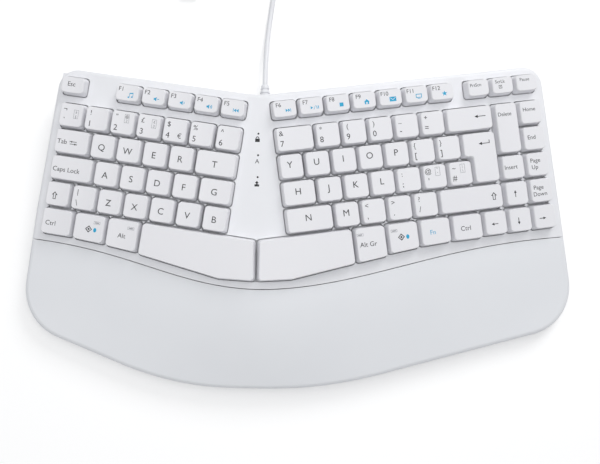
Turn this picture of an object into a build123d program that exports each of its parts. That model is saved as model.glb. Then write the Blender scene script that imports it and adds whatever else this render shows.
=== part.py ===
from build123d import *
from math import atan2, cos, degrees, exp, pi, radians, sin, sqrt, tan
import os

# Ergonomic split keyboard, in millimetres. The two key banks turn away from each other
# about the split line and slope down to both sides like a low tent. +X is to the right,
# +Y to the rear and +Z up. The origin is on the desk, under the centre of the body.

# Sides, as signs along X
left, right = -1, 1

# Keys
key_pitch = 19.05
key_gap = 1.0
function_row_depth = 14.2
function_row_step = 23.9
base_radius = 2.6
space_split_gap = 0.75
crown_radius = 2.4
skirt_drop = 0.5
cap_height = 7.4
crown_bevel = 0.7
side_draft = 0.8
front_draft = 0.8
rear_draft = 1.0
bevel_inset = 0.5
cap_wall = 1.2
cap_roof = 1.6
dish_depth = 0.35
dish_rim = 1.0
stem_width = 6.0
stem_depth = 4.6
stem_reach = 6.2
travel = 3.0

# Banks
bank_turn = 8.65
tent_left = 6.0
tent_right = 4.5
deck_slope = 5.0
ridge_height = 37.0
ridge_radius = 150.0
inner_line = 18.6
number_row_front = 41.7
right_block_line = 177.8
nav_line = 178.4
nav_pitch = 18.5
print_line = 160.4
print_pitch = 18.2
escape_line = 135.3

# Body outline, measured from the split line
left_edge = 158.6
right_edge = 222.0
rear_edge = 85.5
side_bend = 20.0
left_reach = 170.0
left_corner_depth = 75.6
right_reach = 235.4
right_corner_depth = 70.5
front_depth = 120.2
front_flat_left = 56.0
front_flat_right = 50.0
rear_corner_radius = 14.0
rear_ridge_radius = 60.0
side_bend_radius = 120.0
left_corner_radius = 38.0
right_corner_radius = 36.0
front_left_radius = 220.0
front_right_radius = 300.0

# Seam between the upper case and the palm rest
seam_middle = 50.0
seam_end = {left: 12.0, right: 3.0}
seam_spread = {left: 108.0, right: 148.0}
seam_overrun = 90.0
seam_groove = 0.5
seam_points = 13

# Shells
case_wall = 2.4
well_gap = 0.55
well_wall = 2.2
well_depth = 4.0
tray_thickness = 1.6
guide_clearance = 0.35
parting_height = 9.0
floor_thickness = 2.2
lower_inset = 0.9
rim_radius = 3.0
palm_edge_radius = 3.4
palm_lip_height = 12.5
palm_fall_power = 2.2
palm_fall_share = 0.72
palm_fall_limit_share = 1.15
palm_bow_share = 0.5
overrun = 1.0

# Layers under the keys
dome_clearance = 0.3
dome_height = 3.6
dome_base_radius = 4.4
dome_top_radius = 2.6
dome_sheet_thickness = 0.5
membrane_thickness = 0.4
plate_thickness = 1.0
layer_side_margin = 6.0
layer_rear_margin = 7.2
layer_front_outer = 33.0
layer_front_inner = 43.0
layer_step = 1.6
layer_overlap = 0.15

# Screws and their bosses
boss_radius = 3.0
boss_clearance = 0.8
boss_bite = 1.2
screw_radius = 1.3
screw_head_radius = 2.6
screw_head_height = 1.5
screw_length = 9.0
pilot_play = 0.1
screw_post_gap = 0.4
escape_gap_middle = 125.0
print_gap_middle = 156.0
gap_boss_row = 73.0
ridge_boss_rows = (72.0, 8.0)
palm_boss_shares = ((-0.30, -0.33), (-0.05, -0.39), (0.20, -0.37), (0.42, -0.26))

# Controller board
board_width = 52.0
board_depth = 34.0
board_thickness = 1.6
board_middle = 40.0
board_chip_width = 9.0
board_chip_height = 1.5
board_socket_width = 11.0
board_socket_depth = 5.0
board_socket_height = 4.5
post_radius = 2.2
post_height = 4.0
post_inset = 4.0

# Indicator lenses on the ridge
lens_radius = 0.7
lens_reach = 7.0
lens_play = 0.05
lens_flange_radius = 1.8
lens_flange_height = 1.0
lens_rows = (58.7, 43.5, 28.1)

# Feet
pad_radius = 6.0
pad_height = 1.6
pad_shares = ((-0.43, 0.24), (-0.36, -0.27), (0.0, -0.42), (0.41, -0.22), (0.43, 0.24), (0.0, 0.26))
foot_width = 26.0
foot_length = 20.0
foot_thickness = 4.0
foot_clearance = 0.4
foot_pin_radius = 1.6
foot_pin_reach = 1.4
foot_pin_play = 0.06
foot_pin_end_gap = 0.3
foot_rear_margin = 27.0
foot_left_place = 90.0
foot_right_place = 178.0

# Cord
cable_diameter = 3.8
cable_exit_offset = 4.89
cable_exit_height = 11.6
relief_root_radius = 5.0
relief_tip_radius = 2.9
relief_length = 18.0
relief_flange_radius = 7.0
relief_flange_thickness = 1.6
relief_flange_gap = 1.2
relief_play = 0.05
relief_rings = 4
relief_ring_depth = 0.7
relief_ring_width = 1.4
# Middle of the cord from the relief to the coil, laid by hand on the desk
cord_route = (
    (-27.3, 106.0, 11.6),
    (-27.3, 120.0, 11.6),
    (-26.2, 141.0, 4.9),
    (-24.0, 164.0, 1.9),
    (-20.4, 188.0, 1.95),
    (-19.0, 212.0, 1.9),
    (-19.0, 234.0, 1.9),
)
coil_gap = 0.5
coil_first_radius = 27.2
coil_steps = 5
coil_layers = 4
coil_tail = 18.0
bend_run_share = 0.45
gap_sample_steps = 10

# Plug at the end of the cord
plug_width = 15.6
plug_height = 7.8
plug_length = 26.0
plug_radius = 2.4
shell_width = 12.0
shell_height = 4.5
shell_length = 12.2
shell_wall = 0.3
tongue_width = 11.0
tongue_height = 1.8
tongue_length = 10.6

# Worked-out sizes
slope = tan(radians(deck_slope))
turn_cos, turn_sin = cos(radians(bank_turn)), sin(radians(bank_turn))
tent = {left: tan(radians(tent_left)), right: tan(radians(tent_right))}
row_front = {
    "function": number_row_front + function_row_step,
    "number": number_row_front,
    "upper": number_row_front - key_pitch,
    "home": number_row_front - 2 * key_pitch,
    "lower": number_row_front - 3 * key_pitch,
    "bottom": number_row_front - 4 * key_pitch,
}
outer_line = inner_line + 7 * key_pitch
dome_top = stem_reach + dome_clearance
sheet_top = dome_top + dome_height
membrane_top = sheet_top + dome_sheet_thickness
plate_top = membrane_top + membrane_thickness
plate_bottom = plate_top + plate_thickness
floor_top = pad_height + floor_thickness
dome_taper = degrees(atan2(dome_base_radius - dome_top_radius, dome_height))


def bank_point(side, u, v):
    """Plan point, from the split line, of a place on a bank: u along its rows, v to the rear."""
    return (u * turn_cos - side * v * turn_sin, side * u * turn_sin + v * turn_cos)


def body_points():
    """Corners of the body outline and the radius of each."""
    corners = (
        (bank_point(left, -left_edge, rear_edge), rear_corner_radius),
        ((0, rear_edge / turn_cos), rear_ridge_radius),
        (bank_point(right, right_edge, rear_edge), rear_corner_radius),
        (bank_point(right, right_edge, -side_bend), side_bend_radius),
        ((right_reach, -right_corner_depth), right_corner_radius),
        ((front_flat_right, -front_depth), front_right_radius),
        ((-front_flat_left, -front_depth), front_left_radius),
        ((-left_reach, -left_corner_depth), left_corner_radius),
        (bank_point(left, -left_edge, -side_bend), side_bend_radius),
    )
    return [point for point, radius in corners], [radius for point, radius in corners]


def seam_y(x):
    """Y of the seam, from the split line: deep in the middle and shallow at both ends."""
    side = left if x < 0 else right
    return -(seam_end[side] + (seam_middle - seam_end[side]) * exp(-((x / seam_spread[side]) ** 2)))


with BuildSketch() as body_outline:
    with BuildLine():
        FilletPolyline(*body_points()[0], radius=body_points()[1], close=True)
    make_face()

body_box = body_outline.sketch.bounding_box()
body_width, body_depth = body_box.size.X, body_box.size.Y
split_x, split_y = -body_box.center().X, -body_box.center().Y


def plan(height):
    """Horizontal plane with its origin on the split line."""
    return Plane((split_x, split_y, height))


def deck_height(x, y):
    """Height of the deck over a plan point measured from the split line."""
    fall = tent[right] if x > 0 else tent[left]
    round_reach = ridge_radius * tan((radians(tent_left) + radians(tent_right)) / 2)
    softened = max(0, round_reach - abs(x)) ** 2 / (2 * ridge_radius)
    return ridge_height - abs(x) * fall - softened + y * slope


def palm_height(x, y):
    """Height of the palm rest: it carries the deck on and rolls down to the front lip."""
    front_reach = seam_y(x) + front_depth * (1 - palm_bow_share * (x / right_reach) ** 2)
    reach_share = min(palm_fall_limit_share, max(0, (seam_y(x) - y) / front_reach))
    fallen = palm_fall_share * reach_share ** palm_fall_power
    return deck_height(x, y) + (palm_lip_height - deck_height(x, y)) * fallen


def bank_plane(side):
    """Plane of a bank's deck: its X runs along the rows and its Z out of the keys."""
    along = (turn_cos, side * turn_sin, side * (slope * turn_sin - tent[side] * turn_cos))
    return Plane((split_x, split_y, ridge_height), x_dir=along, z_dir=(side * tent[side], -slope, 1))


banks = {left: bank_plane(left), right: bank_plane(right)}


def split_u(side, v):
    """Place along a row, at v, of the split line."""
    return side * v * turn_sin / turn_cos


def polygon(points):
    """Face with straight sides, added to the sketch that is open."""
    return Polygon(*points, align=None)


def moved_in(points, amounts):
    """Counterclockwise polygon with each side, starting at its point, moved in by its amount."""
    lines = []
    for (ax, ay), (bx, by), amount in zip(points, points[1:] + points[:1], amounts):
        length = sqrt((bx - ax) ** 2 + (by - ay) ** 2)
        nx, ny = -(by - ay) / length, (bx - ax) / length
        lines.append((nx, ny, nx * ax + ny * ay + amount))
    moved = []
    for (px, py, pd), (qx, qy, qd) in zip(lines[-1:] + lines[:-1], lines):
        cross = px * qy - py * qx
        moved.append(((pd * qy - qd * py) / cross, (px * qd - qx * pd) / cross))
    return moved


def drafts(points):
    """Draft of each side of a cap: front sides face -V, rear sides +V."""
    amounts = []
    for (ax, ay), (bx, by) in zip(points, points[1:] + points[:1]):
        facing = -(bx - ax) / sqrt((bx - ax) ** 2 + (by - ay) ** 2)
        amounts.append(front_draft if facing < -0.7 else rear_draft if facing > 0.7 else side_draft)
    return amounts


# Keys: each node's list of (side, outline, stem places)
keys = {}


def add_key(node, side, outline, stems=None):
    """Note one key of a node, with its cap outline and where its stems stand."""
    if stems is None:
        stems = [(
            (min(u for u, v in outline) + max(u for u, v in outline)) / 2,
            (min(v for u, v in outline) + max(v for u, v in outline)) / 2,
        )]
    keys.setdefault(node, []).append((side, outline, stems))


def add_row(side, row, names, end=None, start=None, depth=key_pitch):
    """Lay keys outward from the inner line; a width of None fills up to the end line."""
    reach = inner_line if start is None else start
    for node, share in names:
        far = end if share is None else reach + share * key_pitch
        near_u, far_u = reach + key_gap / 2, far - key_gap / 2
        front, rear = row_front[row] + key_gap / 2, row_front[row] + depth - key_gap / 2
        low, high = (near_u, far_u) if side == right else (-far_u, -near_u)
        add_key(node, side, [(low, front), (high, front), (high, rear), (low, rear)])
        reach = far


def add_slant(node, side, near, far, near_front, far_front):
    """Bottom-row key whose front side follows the seam."""
    rear = row_front["bottom"] + key_pitch - key_gap / 2
    ends = sorted(((side * (near + key_gap / 2), -near_front), (side * (far - key_gap / 2), -far_front)))
    add_key(node, side, [*ends, (ends[1][0], rear), (ends[0][0], rear)],
            [((ends[0][0] + ends[1][0]) / 2, row_front["bottom"] + key_pitch / 2)])


add_row(left, "function", [("keys_f1_to_f5", 1)] * 5, depth=function_row_depth)
add_row(left, "function", [("key_escape", 1)], start=escape_line, depth=function_row_depth)
add_row(left, "number", [("keys_grave_to_6", 1)] * 7)
add_row(left, "upper", [("key_t", 1.6)] + [("keys_q_to_r", 1)] * 4 + [("key_tab", None)], end=outer_line)
add_row(left, "home", [("key_g", 1.3)] + [("keys_a_to_f", 1)] * 4 + [("key_caps_lock", None)], end=outer_line)
add_row(left, "lower", [("keys_backslash_to_b", 1)] * 6 + [("key_left_shift", 1)])
add_row(right, "function", [("keys_f6_to_f12", 1)] * 7, depth=function_row_depth)
add_row(right, "function", [("keys_print_to_pause", print_pitch / key_pitch)] * 3,
        start=print_line, depth=function_row_depth)
add_row(right, "number", [("key_7", 1.48)] + [("keys_8_to_equals", 1)] * 5 + [("key_backspace", None)],
        end=right_block_line)
add_row(right, "upper", [("keys_y_to_right_bracket", 0.97)] + [("keys_y_to_right_bracket", 1)] * 6)
add_row(right, "home", [("key_h", 1.3)] + [("keys_j_to_hash", 1)] * 6)
add_row(right, "lower", [("key_n", 1.82)] + [("keys_m_to_slash", 1)] * 4 + [("key_right_shift", None)],
        end=right_block_line)

# Keys of the two columns at the far right
nav_share = nav_pitch / key_pitch
add_row(right, "upper", [("key_delete", nav_share)], start=nav_line, depth=2 * key_pitch)
add_row(right, "home", [("key_insert", nav_share), ("key_page_up", nav_share)], start=nav_line)
add_row(right, "lower", [("key_up", nav_share), ("key_page_down", nav_share)], start=nav_line)
add_row(right, "number", [("key_home", nav_share)], start=nav_line + nav_pitch)
add_row(right, "upper", [("key_end", nav_share)], start=nav_line + nav_pitch)
add_row(right, "bottom", [("key_left", nav_share), ("key_down", nav_share), ("key_right", nav_share)],
        start=nav_line - nav_pitch)

# Two-row enter key, wider behind than in front
enter_step = inner_line + 6.97 * key_pitch + key_gap / 2
enter_low = inner_line + 7.3 * key_pitch + key_gap / 2
enter_end = right_block_line - key_gap / 2
enter_front = row_front["home"] + key_gap / 2
enter_notch = row_front["upper"] + key_gap / 2
enter_rear = row_front["number"] - key_gap / 2
add_key("key_enter", right,
        [(enter_low, enter_front), (enter_end, enter_front), (enter_end, enter_rear),
         (enter_step, enter_rear), (enter_step, enter_notch), (enter_low, enter_notch)],
        [((enter_low + enter_end) / 2, enter_notch)])

# Bottom row: each line is node, near and far ends along the row, and both front depths
front_left_key_shares = (
    ("key_left_alt", 4.17, 5.45, 2.03, 1.94),
    ("key_left_system", 5.45, 6.72, 1.925, 1.87),
    ("key_left_control", 6.72, 7.976, 1.855, 1.853),
)
front_right_key_shares = (
    ("key_alt_gr", 3.43, 4.67, 2.18, 2.06),
    ("key_right_system", 4.67, 5.91, 2.0, 1.9),
    ("key_fn", 5.91, 7.15, 1.875, 1.835),
    ("key_right_control", 7.15, 8.39, 1.83, 1.84),
)
for side, table in ((left, front_left_key_shares), (right, front_right_key_shares)):
    for node, near_share, far_share, near_front_share, far_front_share in table:
        add_slant(node, side, near_share * key_pitch, far_share * key_pitch,
                  near_front_share * key_pitch, far_front_share * key_pitch)

# Space bars: they meet at the split line and bow out towards the seam
space_rear = row_front["bottom"] + key_pitch - key_gap / 2
space_front_shares = {left: (2.35, 2.475, 2.07), right: (2.35, 2.455, 2.18)}
space_bend_shares = {left: 1.03, right: 0.95}
space_end_shares = {left: 4.17, right: 3.43}
space_stem_shares = (0.13, 0.5, 0.87)
for side, node in ((left, "key_left_space"), (right, "key_right_space")):
    middle_v, bend_v, end_v = (-share * key_pitch for share in space_front_shares[side])
    end_u = side * (space_end_shares[side] * key_pitch - key_gap / 2)
    bend_u = side * space_bend_shares[side] * key_pitch
    points = [(end_u, end_v), (bend_u, bend_v),
              (split_u(side, middle_v) + side * space_split_gap, middle_v),
              (split_u(side, space_rear) + side * space_split_gap, space_rear), (end_u, space_rear)]
    stem_v = row_front["bottom"] + key_pitch / 3
    stems = [(end_u * share, stem_v) for share in space_stem_shares]
    add_key(node, side, points if side == left else points[::-1], stems)


def cap_solid(side, outline, stems):
    """One cap with its hollow underside, its dished crown and its stems."""
    plane = banks[side]
    shoulder = moved_in(outline, drafts(outline))
    crown = moved_in(shoulder, [bevel_inset] * len(outline))
    cap_top = cap_height - skirt_drop
    with BuildPart() as cap:
        for points, height, radius in (
            (outline, -skirt_drop, base_radius),
            (shoulder, cap_top - crown_bevel, crown_radius),
            (crown, cap_top, crown_radius - bevel_inset),
        ):
            with BuildSketch(plane.offset(height)) as section:
                polygon(points)
                fillet(section.vertices(), radius)
        loft(ruled=True)
        with BuildSketch(plane.offset(-skirt_drop)):
            polygon(moved_in(shoulder, [cap_wall] * len(outline)))
        extrude(amount=cap_height - cap_roof, mode=Mode.SUBTRACT)
        with BuildSketch(plane.offset(-stem_reach)):
            with Locations(*stems):
                Rectangle(stem_width, stem_depth)
        extrude(amount=stem_reach + cap_top - cap_roof + cap_wall / 2)
        if len(outline) == 4:
            low_u, high_u = max(crown[0][0], crown[3][0]), min(crown[1][0], crown[2][0])
            dish_width = high_u - low_u - dish_rim
            dish_radius = dish_width ** 2 / (8 * dish_depth) + dish_depth / 2
            place = Location(((low_u + high_u) / 2, crown[0][1], cap_top - dish_depth + dish_radius))
            with Locations(plane.location * place):
                Cylinder(dish_radius, 4 * key_pitch, rotation=(90, 0, 0), mode=Mode.SUBTRACT)
    return cap.part


key_parts = {}
for node, caps in keys.items():
    with BuildPart() as key:
        for side, outline, stems in caps:
            add(cap_solid(side, outline, stems))
    key_parts[node] = key.part


def rear_outline(inset):
    """Plan face of the upper case, behind the seam, drawn in by an inset."""
    with BuildSketch() as outline:
        add(body_outline.sketch)
        if inset:
            offset(amount=-inset)
        with BuildLine():
            seam = Spline(*seam_curve(inset))
            Polyline(seam @ 1, (right_reach + seam_overrun, rear_edge + right_reach),
                     (-left_reach - seam_overrun, rear_edge + right_reach), seam @ 0)
        make_face(mode=Mode.INTERSECT)
    return outline.sketch


def palm_outline(inset):
    """Plan face of the palm rest, in front of the seam and its groove, drawn in by an inset."""
    with BuildSketch() as outline:
        add(body_outline.sketch)
        if inset:
            offset(amount=-inset)
        with BuildLine():
            seam = Spline(*seam_curve(-seam_groove - inset))
            Polyline(seam @ 1, (right_reach + seam_overrun, -front_depth - seam_overrun),
                     (-left_reach - seam_overrun, -front_depth - seam_overrun), seam @ 0)
        make_face(mode=Mode.INTERSECT)
    return outline.sketch


def seam_curve(shift):
    """Points of the seam from beyond the left side to beyond the right side."""
    start, end = -left_reach - seam_overrun / 4, right_reach + seam_overrun / 4
    xs = [start + (end - start) * i / (seam_points - 1) for i in range(seam_points)]
    return [(x, seam_y(x) + shift) for x in xs]


def roofed_block(outline, bottom, drop):
    """Block over a plan face, from a height up to the deck lowered by a drop."""
    reach = right_reach + seam_overrun
    start_y = -front_depth
    lift = ridge_height - drop + start_y * slope
    with BuildPart() as block:
        with BuildSketch(Plane((split_x, split_y + start_y, 0), x_dir=(1, 0, 0), z_dir=(0, -1, 0))) as profile:
            polygon([(-reach, -body_depth), (reach, -body_depth), (reach, lift - reach * tent[right]),
                     (0, lift), (-reach, lift - reach * tent[left])])
            fillet(profile.vertices().sort_by(Axis.Y)[-1], ridge_radius)
        extrude(amount=2 * body_depth, dir=(0, 1, slope))
        with BuildSketch(plan(bottom)):
            add(outline)
        extrude(amount=2 * ridge_height, mode=Mode.INTERSECT)
    return block.part


def palm_cutter(drop):
    """Block above the palm rest's top surface, lowered by a drop."""
    columns, rows = 25, 13
    width_reach = right_reach + left_reach + seam_groove
    column_step = (width_reach + 2 * case_wall) / (columns - 1)
    surface = [[
        Vector(split_x + x, split_y + y, palm_height(x, y) - drop)
        for x in [-left_reach - case_wall + column_step * i for i in range(columns)]
    ] for y in [-front_depth - case_wall + (front_depth + case_wall) * j / (rows - 1) for j in range(rows)]]
    face = Face.make_surface_from_array_of_points(surface)
    return Solid.extrude(face, Vector(0, 0, 2 * ridge_height))


# Places of the screw bosses, from the split line
rear_bosses = [
    bank_point(left, -escape_gap_middle, gap_boss_row),
    bank_point(right, print_gap_middle, gap_boss_row),
    *((0, row) for row in ridge_boss_rows),
]
palm_bosses = [
    (across_share * body_width - split_x, along_share * body_depth - split_y)
    for across_share, along_share in palm_boss_shares
]
lens_places = [(0, row) for row in lens_rows]


def all_caps(side):
    """Every cap outline and stem list of a bank."""
    return [(outline, stems) for caps in keys.values() for s, outline, stems in caps if s == side]


def well_outline(outline):
    """Outline of the well of one cap, with the gap round it and corners as round as the cap's."""
    with BuildSketch() as well:
        polygon(moved_in(outline, [-well_gap] * len(outline)))
        fillet(well.vertices(), base_radius)
    return well.sketch


def boss_columns(places, radius, bottom, height_at):
    """Columns that stand from a height up into the roof above them."""
    with BuildPart() as columns:
        for x, y in places:
            with BuildSketch(plan(bottom)):
                with Locations((x, y)):
                    Circle(radius)
            extrude(amount=height_at(x, y) - bottom - boss_bite)
    return columns.part


# Upper case: tented shell with key wells, trays with stem guides, and screw bosses
post_top = pad_height + screw_head_height + floor_thickness
with BuildPart() as top_case:
    add(roofed_block(rear_outline(0), parting_height, 0))
    fillet(top_case.edges().filter_by(lambda e: abs(e.center().Z - deck_height(
        e.center().X - split_x, e.center().Y - split_y)) < rim_radius / 3
        and e.center().Y - split_y > seam_y(e.center().X - split_x) + rim_radius
        and abs(e.tangent_at(0.5).Y) + abs(e.tangent_at(0.5).X) > 0.5
        and not abs(e.center().X - split_x) < ridge_radius / 6), rim_radius)
    add(roofed_block(rear_outline(case_wall), parting_height - overrun, case_wall), mode=Mode.SUBTRACT)
    for side in (left, right):
        with BuildSketch(banks[side].offset(-well_depth - tray_thickness)):
            for outline, stems in all_caps(side):
                polygon(moved_in(outline, [-well_gap - well_wall] * len(outline)))
        extrude(amount=well_depth + tray_thickness - case_wall / 2)
    add(boss_columns(rear_bosses, boss_radius, post_top + screw_post_gap, deck_height))
    for side in (left, right):
        with BuildSketch(banks[side].offset(-well_depth)):
            for outline, stems in all_caps(side):
                add(well_outline(outline))
            front_v = -space_front_shares[side][0] * key_pitch
            polygon([(split_u(side, front_v) - key_gap, front_v), (split_u(side, front_v) + key_gap, front_v),
                     (split_u(side, space_rear) + key_gap, space_rear),
                     (split_u(side, space_rear) - key_gap, space_rear)])
        extrude(amount=well_depth + cap_height, mode=Mode.SUBTRACT)
        with BuildSketch(banks[side].offset(-well_depth - tray_thickness - overrun)):
            for outline, stems in all_caps(side):
                with Locations(*stems):
                    Rectangle(stem_width + 2 * guide_clearance, stem_depth + 2 * guide_clearance)
        extrude(amount=tray_thickness + 2 * overrun, mode=Mode.SUBTRACT)
    with BuildSketch(plan(post_top)):
        with Locations(*rear_bosses):
            Circle(screw_radius - pilot_play)
    extrude(amount=screw_length, mode=Mode.SUBTRACT)
    with BuildSketch(plan(parting_height)):
        with Locations(*lens_places):
            Circle(lens_radius + lens_play)
    extrude(amount=2 * ridge_height, mode=Mode.SUBTRACT)
    with Locations((split_x + cable_exit_offset, split_y + rear_edge, cable_exit_height)):
        Cylinder(relief_root_radius + relief_play, 4 * case_wall, rotation=(90, 0, 0), mode=Mode.SUBTRACT)
print("top case solids", len(top_case.solids()), "volume", round(top_case.part.volume))


def screw_holes(places):
    """Counterbored screw holes of the lower case, as one tool that is cut out of it."""
    with BuildPart() as holes:
        with BuildSketch(plan(pad_height - overrun)):
            with Locations(*places):
                Circle(screw_head_radius + screw_post_gap)
        extrude(amount=overrun + screw_head_height)
        with BuildSketch(plan(pad_height)):
            with Locations(*places):
                Circle(screw_radius + screw_post_gap)
        extrude(amount=post_top)
    return holes.part


def palm_block(outline, bottom, drop):
    """Block over a plan face, from a height up to the palm surface lowered by a drop."""
    with BuildPart() as block:
        with BuildSketch(plan(bottom)):
            add(outline)
        extrude(amount=2 * ridge_height)
        add(palm_cutter(drop), mode=Mode.SUBTRACT)
    return block.part


# Palm rest: its own shell in front of the seam, with screw bosses
with BuildPart() as palm_rest:
    add(palm_block(palm_outline(0), parting_height, 0))
    front_edges = palm_rest.edges().filter_by(
        lambda e: e.center().Z > parting_height + rim_radius / 2
        and e.center().Y - split_y < seam_y(e.center().X - split_x) - 4 * seam_groove
        and abs(e.tangent_at(0.5).Z) < 0.7
    )
    fillet(front_edges, palm_edge_radius)
    add(palm_block(palm_outline(case_wall), parting_height - overrun, case_wall), mode=Mode.SUBTRACT)
    add(boss_columns(palm_bosses, boss_radius, post_top + screw_post_gap, palm_height))
    with BuildSketch(plan(post_top)):
        with Locations(*palm_bosses):
            Circle(screw_radius - pilot_play)
    extrude(amount=screw_length - screw_head_height, mode=Mode.SUBTRACT)


def rear_line(x):
    """Y of the rear side of the body at a place across it, from the split line."""
    return (rear_edge + abs(x) * turn_sin) / turn_cos


# Tilt feet: hinge axis height and places
foot_axis = pad_height + foot_thickness / 2
foot_places = {
    "left": (-foot_left_place, rear_line(-foot_left_place) - foot_rear_margin),
    "right": (foot_right_place, rear_line(foot_right_place) - foot_rear_margin),
}

# Lower case: floor tray with screw posts, board posts and pods for the tilt feet
with BuildPart() as bottom_case:
    with BuildSketch(plan(pad_height)):
        add(body_outline.sketch)
        offset(amount=-lower_inset)
    extrude(amount=parting_height - pad_height)
    chamfer(bottom_case.faces().sort_by(Axis.Z)[0].edges(), case_wall / 2)
    with BuildSketch(plan(floor_top)):
        add(body_outline.sketch)
        offset(amount=-lower_inset - case_wall)
    extrude(amount=parting_height, mode=Mode.SUBTRACT)
    with BuildSketch(plan(pad_height)):
        with Locations(*rear_bosses, *palm_bosses):
            Circle(screw_head_radius + screw_post_gap + case_wall / 2)
    extrude(amount=post_top - pad_height)
    with BuildSketch(plan(floor_top)):
        with Locations((0, board_middle)):
            with GridLocations(board_width - 2 * post_inset, board_depth - 2 * post_inset, 2, 2):
                Circle(post_radius)
    extrude(amount=post_height)
    for x, y in foot_places.values():
        pod_middle = (x, y + foot_length / 2 - foot_thickness / 4)
        hole_length = foot_width + 2 * foot_clearance
        pocket_depth = foot_length + foot_thickness / 2 + 2 * foot_clearance
        with BuildSketch(plan(pad_height)):
            with Locations(pod_middle):
                Rectangle(hole_length + 2 * case_wall, pocket_depth + 2 * case_wall)
        extrude(amount=foot_thickness + foot_clearance + floor_thickness)
        with BuildSketch(plan(pad_height - overrun)):
            with Locations(pod_middle):
                Rectangle(hole_length, pocket_depth)
        extrude(amount=foot_thickness + foot_clearance + overrun, mode=Mode.SUBTRACT)
        with Locations((split_x + x, split_y + y, foot_axis)):
            Cylinder(foot_pin_radius + foot_pin_play, hole_length + 2 * (foot_pin_reach + foot_pin_end_gap),
                     rotation=(0, 90, 0), mode=Mode.SUBTRACT)
    add(screw_holes(rear_bosses + palm_bosses), mode=Mode.SUBTRACT)
    with Locations((split_x + cable_exit_offset, split_y + rear_edge, cable_exit_height)):
        Cylinder(relief_root_radius + relief_play, 4 * case_wall, rotation=(90, 0, 0), mode=Mode.SUBTRACT)


def layer_points(side, depth):
    """Outline of a thin layer's half, at a depth under the deck, out to the ridge and just past it."""
    rear_v, outer_u = rear_edge - layer_rear_margin, (
        left_edge if side == left else right_edge) - layer_side_margin
    front_v, middle_v = -layer_front_outer, -layer_front_inner
    bend_u = 4 * key_pitch
    past = side * (depth * tent[side] - layer_overlap)
    points = [(side * outer_u, front_v), (side * bend_u, front_v - layer_side_margin),
              (split_u(side, middle_v) + past, middle_v), (split_u(side, rear_v) + past, rear_v),
              (side * outer_u, rear_v)]
    return points if side == left else points[::-1]


def layer(top, thickness, margin):
    """Thin layer on both banks, with clearance holes round the screw bosses."""
    with BuildPart() as sheet:
        for side in (left, right):
            with BuildSketch(banks[side].offset(-top)):
                polygon(moved_in(layer_points(side, top + thickness / 2), [margin, margin, 0, margin, margin]
                        if side == left else [margin, 0, margin, margin, margin]))
            extrude(amount=-thickness)
        with BuildSketch(plan(parting_height - ridge_height)):
            with Locations(*rear_bosses):
                Circle(boss_radius + boss_clearance)
            with Locations(*lens_places):
                Circle(lens_flange_radius + boss_clearance)
        extrude(amount=3 * ridge_height, mode=Mode.SUBTRACT)
    return sheet.part


# Rubber sheet with one dome under each stem, printed circuit layer and steel plate
with BuildPart() as rubber_dome_sheet:
    add(layer(sheet_top, dome_sheet_thickness, layer_step))
    for side in (left, right):
        with BuildSketch(banks[side].offset(-sheet_top - dome_sheet_thickness / 2)):
            for outline, stems in all_caps(side):
                with Locations(stems[len(stems) // 2]):
                    Circle(dome_base_radius)
        extrude(amount=dome_sheet_thickness / 2 + dome_height,
                taper=dome_taper)
with BuildPart() as membrane_circuit:
    add(layer(membrane_top, membrane_thickness, layer_step / 2))
with BuildPart() as support_plate:
    add(layer(plate_top, plate_thickness, 0))

# Controller board on its posts, with a chip and the cord's socket
board_bottom = floor_top + post_height
with BuildPart() as controller_board:
    with BuildSketch(plan(board_bottom)):
        with Locations((0, board_middle)):
            Rectangle(board_width, board_depth)
    extrude(amount=board_thickness)
    with BuildSketch(plan(board_bottom + board_thickness)):
        with Locations((-board_width / 5, board_middle)):
            Rectangle(board_chip_width, board_chip_width)
    extrude(amount=board_chip_height)
    with BuildSketch(plan(board_bottom + board_thickness)):
        with Locations((board_width / 5, board_middle + (board_depth - board_socket_depth) / 2)):
            Rectangle(board_socket_width, board_socket_depth)
    extrude(amount=board_socket_height)

# Indicator lenses: light pipes flush with the ridge, each with a flange below the deck
with BuildPart() as indicator_lenses:
    for x, y in lens_places:
        lens_top = deck_height(x, y)
        with BuildSketch(plan(lens_top - lens_reach)):
            with Locations((x, y)):
                Circle(lens_radius)
        extrude(amount=lens_reach)
        with BuildSketch(plan(lens_top - lens_reach)):
            with Locations((x, y)):
                Circle(lens_flange_radius)
        extrude(amount=lens_flange_height)

# Screws, driven from below into the bosses
screw_seat = pad_height + screw_head_height
with BuildPart() as case_screws:
    with BuildSketch(plan(pad_height)):
        with Locations(*rear_bosses, *palm_bosses):
            Circle(screw_head_radius)
    extrude(amount=screw_head_height)
    with BuildSketch(plan(screw_seat)):
        with Locations(*rear_bosses, *palm_bosses):
            Circle(screw_radius - pilot_play)
    extrude(amount=screw_length - 2 * screw_post_gap)
    with BuildSketch(plan(pad_height)):
        with Locations(*rear_bosses, *palm_bosses):
            RegularPolygon(screw_radius, 6)
    extrude(amount=screw_head_height / 2, mode=Mode.SUBTRACT)

# Rubber pads under the floor
with BuildPart() as rubber_feet:
    with BuildSketch():
        with Locations(*[(x_share * body_width, y_share * body_depth) for x_share, y_share in pad_shares]):
            Circle(pad_radius)
    extrude(amount=pad_height)
    chamfer(rubber_feet.faces().group_by(Axis.Z)[0].edges(), pad_height / 4)

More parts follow.
